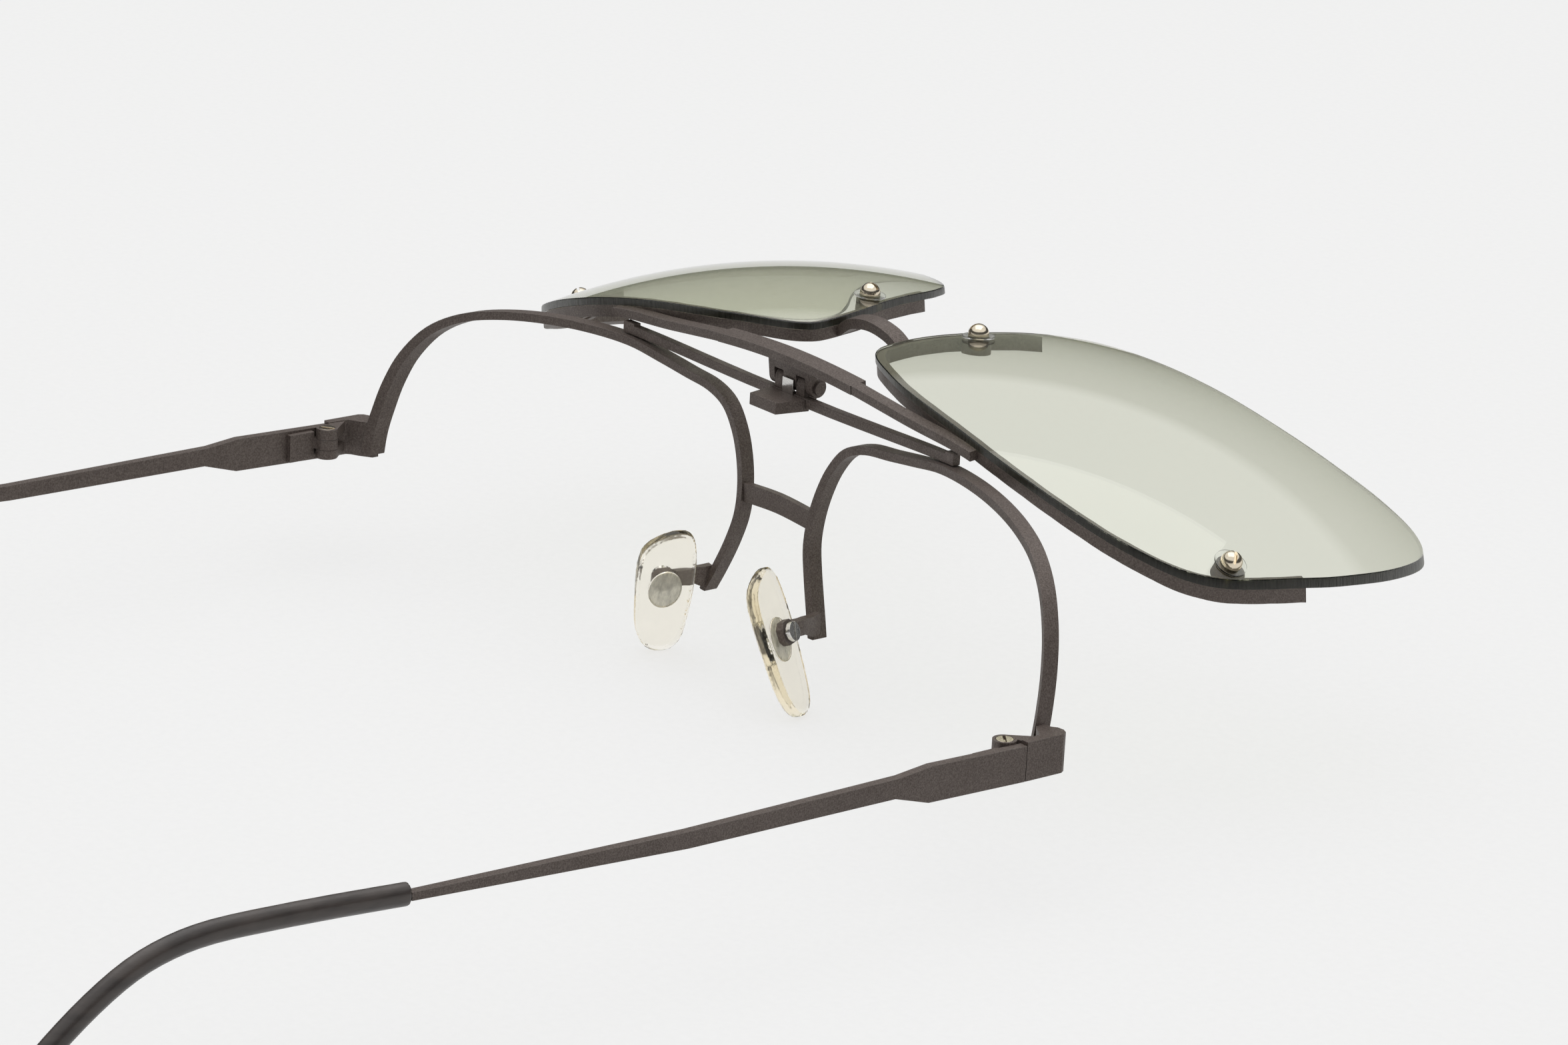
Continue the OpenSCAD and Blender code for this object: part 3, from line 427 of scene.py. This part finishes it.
# Mesh helpers
def add_piece(name, mesh, solid):
    """A piece that stands for a solid: same body, same finish slot, its material made for that slot."""
    piece = bpy.data.objects.new(name, mesh)
    bpy.context.scene.collection.objects.link(piece)
    mesh.materials.clear()
    mesh.materials.append(once(SLOT_OF[solid] + "_finish", MATERIALS[SLOT_OF[solid]]))
    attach(piece, BODY_OF[solid])
    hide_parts(solid)
    return piece


def welded_copy(solid):
    """The solid's mesh with its seams welded and the cuts across flat faces taken out."""
    mesh = NODES[solid].data.copy()
    form = bmesh.new()
    form.from_mesh(mesh)
    bmesh.ops.remove_doubles(form, verts=form.verts, dist=WELD)
    bmesh.ops.dissolve_limit(form, angle_limit=FLAT_ANGLE, verts=form.verts, edges=form.edges)
    form.to_mesh(mesh)
    form.free()
    return mesh


def apply_modifiers(piece):
    seen = piece.evaluated_get(bpy.context.evaluated_depsgraph_get())
    mesh = bpy.data.meshes.new_from_object(seen)
    piece.modifiers.clear()
    piece.data = mesh


def shade(mesh):
    mesh.shade_smooth()
    mesh.set_sharp_from_angle(angle=SHARP_ANGLE)


def finished(solid, part, corner):
    """A machined or stamped piece: the solid with its corners rounded."""
    piece = add_piece(f"{solid}_{part}", welded_copy(solid), solid)
    shade(piece.data)
    rounding = piece.modifiers.new("Corners", "BEVEL")
    rounding.width = corner
    rounding.segments = 2
    rounding.limit_method = "ANGLE"
    rounding.angle_limit = SHARP_ANGLE
    rounding.harden_normals = True
    apply_modifiers(piece)


def moulded(solid, part, face_size, smoothing):
    """A moulded plastic piece: remeshed evenly and eased until no hard corner is left."""
    piece = add_piece(f"{solid}_{part}", welded_copy(solid), solid)
    remesh = piece.modifiers.new("Even faces", "REMESH")
    remesh.mode = "VOXEL"
    remesh.voxel_size = face_size
    remesh.use_smooth_shade = True
    ease = piece.modifiers.new("Eased", "SMOOTH")
    ease.factor = 0.5
    ease.iterations = smoothing
    apply_modifiers(piece)
    piece.data.shade_smooth()
    return piece


def shrink(piece, distance):
    """Draws a piece's whole surface in by a distance."""
    mesh = piece.data
    inward = [(v.co - distance * v.normal) for v in mesh.vertices]
    for vert, place in zip(mesh.vertices, inward):
        vert.co = place


# Lens form
def sphere_through(points):
    """Centre and radius of the sphere nearest to the points."""
    rows = np.c_[2 * points, np.ones(len(points))]
    best = np.linalg.lstsq(rows, (points ** 2).sum(1), rcond=None)[0]
    return best[:3], math.sqrt(best[3] + best[:3] @ best[:3])


def corners_of(solid):
    return np.array([v.co[:] for v in NODES[solid].data.vertices])


def rim_curve(points, centre, axes, spokes):
    """How far out the lens reaches in each direction, on the plane that touches it at its middle."""
    rays = points - centre
    deep = rays @ axes[2]
    flat = np.c_[rays @ axes[0] / deep, rays @ axes[1] / deep]
    angle = np.arctan2(flat[:, 1], flat[:, 0])
    reach = np.hypot(flat[:, 0], flat[:, 1])
    sector = np.linspace(-math.pi, math.pi, spokes, endpoint=False)
    order = np.argsort(angle)
    return sector, np.interp(sector, angle[order], reach[order], period=2 * math.pi)


def outline_points(solid, inside):
    """Corners of the solid where its spherical face meets its edge wall, without the screw holes."""
    form = bmesh.new()
    form.from_mesh(NODES[solid].data)
    bmesh.ops.remove_doubles(form, verts=form.verts, dist=WELD)
    form.verts.ensure_lookup_table()
    kept = {v.index for v in form.verts if inside(np.array(v.co[:]))}
    border = {}
    for edge in form.edges:
        ends = [v.index for v in edge.verts]
        if not all(i in kept for i in ends):
            continue
        on_face = [all(v.index in kept for v in f.verts) for f in edge.link_faces]
        if sorted(on_face) == [False, True]:
            for a, b in (ends, reversed(ends)):
                border.setdefault(a, []).append(b)
    loops = []
    left = set(border)
    while left:
        loop = [left.pop()]
        ahead = [i for i in border[loop[0]] if i in left]
        while ahead:
            loop.append(ahead[0])
            left.discard(ahead[0])
            ahead = [i for i in border[loop[-1]] if i in left]
        loops.append([form.verts[i].co[:] for i in loop])
    form.free()

    def spread(loop):
        place = np.array(loop)
        return np.ptp(place, axis=0).sum()

    return np.array(max(loops, key=spread))


def lens_mesh(solid):
    """Lens of even rings: convex face, polished corner, ground edge, corner and concave face."""
    look = bpy.context.scene.lens_settings
    points = corners_of(solid)
    centre, middle_r = sphere_through(points)
    outer = np.linalg.norm(points - centre, axis=1) > middle_r
    centre, r_out = sphere_through(points[outer])
    r_in = np.linalg.norm(points[~outer] - centre, axis=1).mean()
    middle = (points.max(0) + points.min(0)) / 2 - centre
    axis = middle / np.linalg.norm(middle)
    side = np.cross(axis, (0, 1, 0))
    side /= np.linalg.norm(side)
    axes = (side, np.cross(axis, side), axis)
    limit = (r_out + r_in) / 2
    rims = []
    for is_outer in (True, False):
        edge = outline_points(
            solid, lambda p, o=is_outer: (np.linalg.norm(p - centre) > limit) == o)
        rims.append(rim_curve(edge, centre, axes, look.spokes))
    sector = rims[0][0]
    inset = look.corner / (r_out * rims[0][1].mean())
    rings = []
    for step in range(1, look.rings + 1):
        rings.append((0, (1 - inset) * step / look.rings, r_out, 0.0))
    rings.append((0, 1.0, r_out - look.corner * 0.8, 1.0))
    rings.append((1, 1.0, r_in + look.corner * 0.8, 1.0))
    for step in range(look.rings, 0, -1):
        rings.append((1, (1 - inset) * step / look.rings, r_in, 0.0))
    form = bmesh.new()
    mark = form.verts.layers.float.new(EDGE_MARK)

    def spot(flat_x, flat_y, radius):
        ray = axes[2] + flat_x * axes[0] + flat_y * axes[1]
        return centre + ray / np.linalg.norm(ray) * radius

    start = form.verts.new(spot(0, 0, r_out))
    end = form.verts.new(spot(0, 0, r_in))
    grid = []
    for which, reach, radius, marked in rings:
        ring = []
        for angle, far in zip(sector, rims[which][1]):
            vert = form.verts.new(spot(far * reach * math.cos(angle), far * reach * math.sin(angle), radius))
            vert[mark] = marked
            ring.append(vert)
        grid.append(ring)
    count = look.spokes
    for i in range(count):
        j = (i + 1) % count
        form.faces.new((start, grid[0][i], grid[0][j]))
        form.faces.new((end, grid[-1][j], grid[-1][i]))
        for near, far in zip(grid, grid[1:]):
            form.faces.new((near[i], far[i], far[j], near[j]))
    bmesh.ops.recalc_face_normals(form, faces=form.faces)
    mesh = bpy.data.meshes.new(solid + "_form")
    form.to_mesh(mesh)
    form.free()
    shade(mesh)
    return mesh


# One operator for each group of pieces
class DressFront(bpy.types.Operator):
    """Rounds and lacquers the rims, the bridge, the brow bar and the box behind it"""
    bl_idname = "sunglasses.dress_front"
    bl_label = "Front"

    def execute(self, context):
        corner = context.scene.lacquer_settings.corner
        for side in SIDES:
            finished("rim_" + side, "wire", corner)
        finished("bridge", "bar", corner)
        finished("brow_bar", "wire", corner)
        finished("hinge_block", "box", corner)
        return {"FINISHED"}


class DressFlipHinge(bpy.types.Operator):
    """Finishes the flip hinge: knuckles, pin, detent spring and leaf"""
    bl_idname = "sunglasses.dress_flip_hinge"
    bl_label = "Flip hinge"

    def execute(self, context):
        fine = context.scene.screw_settings.corner
        finished("flip_hinge_base", "knuckles", 2 * fine)
        finished("clip_hinge_leaf", "plate", 2 * fine)
        finished("flip_hinge_pin", "rivet", fine)
        finished("detent_spring", "strip", fine)
        return {"FINISHED"}


class DressTempleHinges(bpy.types.Operator):
    """Finishes the endpieces, the hinge screws and the temples' leaves"""
    bl_idname = "sunglasses.dress_temple_hinges"
    bl_label = "Temple hinges"

    def execute(self, context):
        corner = context.scene.lacquer_settings.corner
        for side in SIDES:
            finished("endpiece_" + side, "plate", corner)
            finished("temple_leaf_" + side, "leaf", corner)
            finished("temple_screw_" + side, "screw", context.scene.screw_settings.corner)
        return {"FINISHED"}


class DressTemples(bpy.types.Operator):
    """Finishes the metal temples and moulds their plastic tips"""
    bl_idname = "sunglasses.dress_temples"
    bl_label = "Temples"

    def execute(self, context):
        for side in SIDES:
            finished("temple_" + side, "bar", context.scene.lacquer_settings.corner)
            moulded("temple_tip_" + side, "sleeve", context.scene.temple_settings.grain, 4)
        return {"FINISHED"}


class DressPads(bpy.types.Operator):
    """Moulds the clear nose pads and finishes their arms, cores and screws"""
    bl_idname = "sunglasses.dress_pads"
    bl_label = "Nose pads"

    def execute(self, context):
        look = context.scene.pad_settings
        for side in SIDES:
            finished("pad_arm_" + side, "arm", context.scene.lacquer_settings.corner)
            core = moulded("pad_core_" + side, "insert", 0.7 * look.grain, 2)
            shrink(core, look.core_gap)
            finished("pad_screw_" + side, "screw", context.scene.screw_settings.corner)
            moulded("nose_pad_" + side, "moulding", look.grain, 8)
        return {"FINISHED"}


class DressClip(bpy.types.Operator):
    """Rounds and lacquers the clip's bar, bridge and bands"""
    bl_idname = "sunglasses.dress_clip"
    bl_label = "Clip"

    def execute(self, context):
        corner = context.scene.lacquer_settings.corner
        finished("clip_bar", "wire", corner)
        finished("clip_bridge", "arch", corner)
        for side in SIDES:
            finished("clip_band_" + side, "strip", corner)
        return {"FINISHED"}


class DressLenses(bpy.types.Operator):
    """Makes the tinted lenses with polished faces and ground edges"""
    bl_idname = "sunglasses.dress_lenses"
    bl_label = "Lenses"

    def execute(self, context):
        for side in SIDES:
            solid = "sun_lens_" + side
            add_piece(solid + "_tinted", lens_mesh(solid), solid)
        return {"FINISHED"}


class DressLensScrews(bpy.types.Operator):
    """Polishes the four dome screws and their clear washers"""
    bl_idname = "sunglasses.dress_lens_screws"
    bl_label = "Lens screws"

    def execute(self, context):
        fine = context.scene.screw_settings.corner
        for place in ("nose", "side"):
            for side in SIDES:
                finished(f"{place}_lens_screw_{side}", "dome", fine)
                finished(f"{place}_lens_washer_{side}", "ring", fine)
        return {"FINISHED"}


class SetStage(bpy.types.Operator):
    """Sets the pale floor, the soft lights and the camera at the photograph's angle"""
    bl_idname = "sunglasses.set_stage"
    bl_label = "Stage"

    def execute(self, context):
        look = context.scene.stage_settings
        floor_mesh = bpy.data.meshes.new("floor")
        half = 4.0
        floor_mesh.from_pydata(
            [(-half, -half, 0), (half, -half, 0), (half, half, 0), (-half, half, 0)], [], [(0, 1, 2, 3)])
        floor_mesh.materials.append(floor_material("floor", look))
        floor = bpy.data.objects.new("floor", floor_mesh)
        context.scene.collection.objects.link(floor)
        soft_light("overhead", look.key, look.key_size, look.key_at)
        set_sky(context.scene, look)
        view = bpy.data.cameras.new("camera")
        view.sensor_width = 36
        view.lens = look.focal
        view.clip_start = 0.01
        camera = bpy.data.objects.new("camera", view)
        camera.location = look.camera_at
        camera.rotation_euler = look.camera_turn
        context.scene.collection.objects.link(camera)
        context.scene.camera = camera
        context.scene.view_settings.view_transform = "Standard"
        return {"FINISHED"}


def seen_directly(tree, place, kinds=("Camera", "Transmission")):
    """One for rays of these kinds, such as those from the camera; none for the light that falls on things."""
    x, y = place
    path = node(tree, "ShaderNodeLightPath", (x, y))
    seen = path.outputs[f"Is {kinds[0]} Ray"]
    for step, kind in enumerate(kinds[1:]):
        either = node(tree, "ShaderNodeMath", (x + 220 * (step + 1), y), operation="MAXIMUM")
        link(tree, [(seen, either.inputs[0]), (path.outputs[f"Is {kind} Ray"], either.inputs[1])])
        seen = either.outputs[0]
    return seen


def floor_material(name, look):
    """Pale floor that is as bright as a lit backdrop where it is seen, and lights the glasses less."""
    material, tree, shader = new_material(name, roughness=0.7, specular_ior_level=0.2)
    grain = use_group(tree, "fine_grain", (-900, 300), {"Size": 900.0, "Mottle": 3.0})
    faint = [0.985 * v for v in look.floor]
    shown = mix_colours(tree, (-500, 350), grain.outputs["Speckle"], look.floor, faint)
    dim = [look.bounce * v for v in look.floor]
    direct = seen_directly(tree, (-1300, 700), ("Camera", "Transmission", "Glossy"))
    plain = node(tree, "ShaderNodeEmission", (300, -300))
    share_plain = node(tree, "ShaderNodeMath", (300, 600), operation="MULTIPLY")
    share_plain.inputs[1].default_value = look.plain
    mixed = node(tree, "ShaderNodeMixShader", (650, 300))
    link(tree, [(mix_colours(tree, (-250, 350), direct, dim, shown), shader.inputs["Base Color"]),
                (shown, plain.inputs["Color"]), (direct, share_plain.inputs[0]),
                (share_plain.outputs[0], mixed.inputs[0]), (shader.outputs[0], mixed.inputs[1]),
                (plain.outputs[0], mixed.inputs[2]),
                (mixed.outputs[0], tree.nodes["Material Output"].inputs["Surface"])])
    return material


def soft_light(name, power, size, place):
    lamp = bpy.data.lights.new(name, "AREA")
    lamp.energy = power
    lamp.size = size
    light = bpy.data.objects.new(name, lamp)
    light.location = place
    light.rotation_euler = (Vector((0, 0, 0)) - Vector(place)).to_track_quat("-Z", "Y").to_euler()
    bpy.context.scene.collection.objects.link(light)


def set_sky(scene, look):
    """Even light from above and little from low down; the camera itself sees plain white."""
    world = bpy.data.worlds.new("studio")
    scene.world = world
    world.use_nodes = True
    tree = world.node_tree
    background = tree.nodes["Background"]
    background.inputs["Color"].default_value = (1, 1, 1, 1)
    direction = node(tree, "ShaderNodeTexCoord", (-900, 200))
    parts = node(tree, "ShaderNodeSeparateXYZ", (-680, 200))
    fading = node(tree, "ShaderNodeMapRange", (-450, 200),
                  {"From Min": look.low, "From Max": look.high, "To Min": look.horizon, "To Max": look.sky})
    strength = node(tree, "ShaderNodeMapRange", (-200, 0), {"To Max": 0.9})
    link(tree, [(direction.outputs["Generated"], parts.inputs[0]),
                (parts.outputs["Z"], fading.inputs["Value"]), (fading.outputs[0], strength.inputs["To Min"]),
                (seen_directly(tree, (-900, -100)), strength.inputs["Value"]),
                (strength.outputs[0], background.inputs["Strength"])])


class SunglassesPanel(bpy.types.Panel):
    """Lists the steps that dress the sunglasses"""
    bl_idname = "VIEW3D_PT_sunglasses"
    bl_label = "Flip Up Sunglasses"
    bl_space_type = "VIEW_3D"
    bl_region_type = "UI"
    bl_category = "Sunglasses"

    def draw(self, context):
        for step in STEPS:
            self.layout.operator(step.bl_idname)
        for name in SETTINGS:
            settings = getattr(context.scene, name)
            box = self.layout.box()
            for key in settings.__annotations__:
                box.prop(settings, key)


SETTINGS = {
    "lacquer_settings": LacquerSettings,
    "lens_settings": LensSettings,
    "screw_settings": ScrewSettings,
    "pad_settings": PadSettings,
    "temple_settings": TempleSettings,
    "stage_settings": StageSettings,
}
STEPS = (SetStage, DressFront, DressFlipHinge, DressTempleHinges, DressTemples, DressPads, DressClip,
         DressLenses, DressLensScrews)


def register():
    for group in SETTINGS.values():
        bpy.utils.register_class(group)
    for step in STEPS:
        bpy.utils.register_class(step)
    bpy.utils.register_class(SunglassesPanel)
    for name, group in SETTINGS.items():
        setattr(bpy.types.Scene, name, PointerProperty(type=group))


def unregister():
    for name in SETTINGS:
        delattr(bpy.types.Scene, name)
    bpy.utils.unregister_class(SunglassesPanel)
    for step in reversed(STEPS):
        bpy.utils.unregister_class(step)
    for group in SETTINGS.values():
        bpy.utils.unregister_class(group)


def main():
    register()
    for step in STEPS:
        area, call = step.bl_idname.split(".")
        getattr(getattr(bpy.ops, area), call)()


if __name__ == "__main__":
    main()
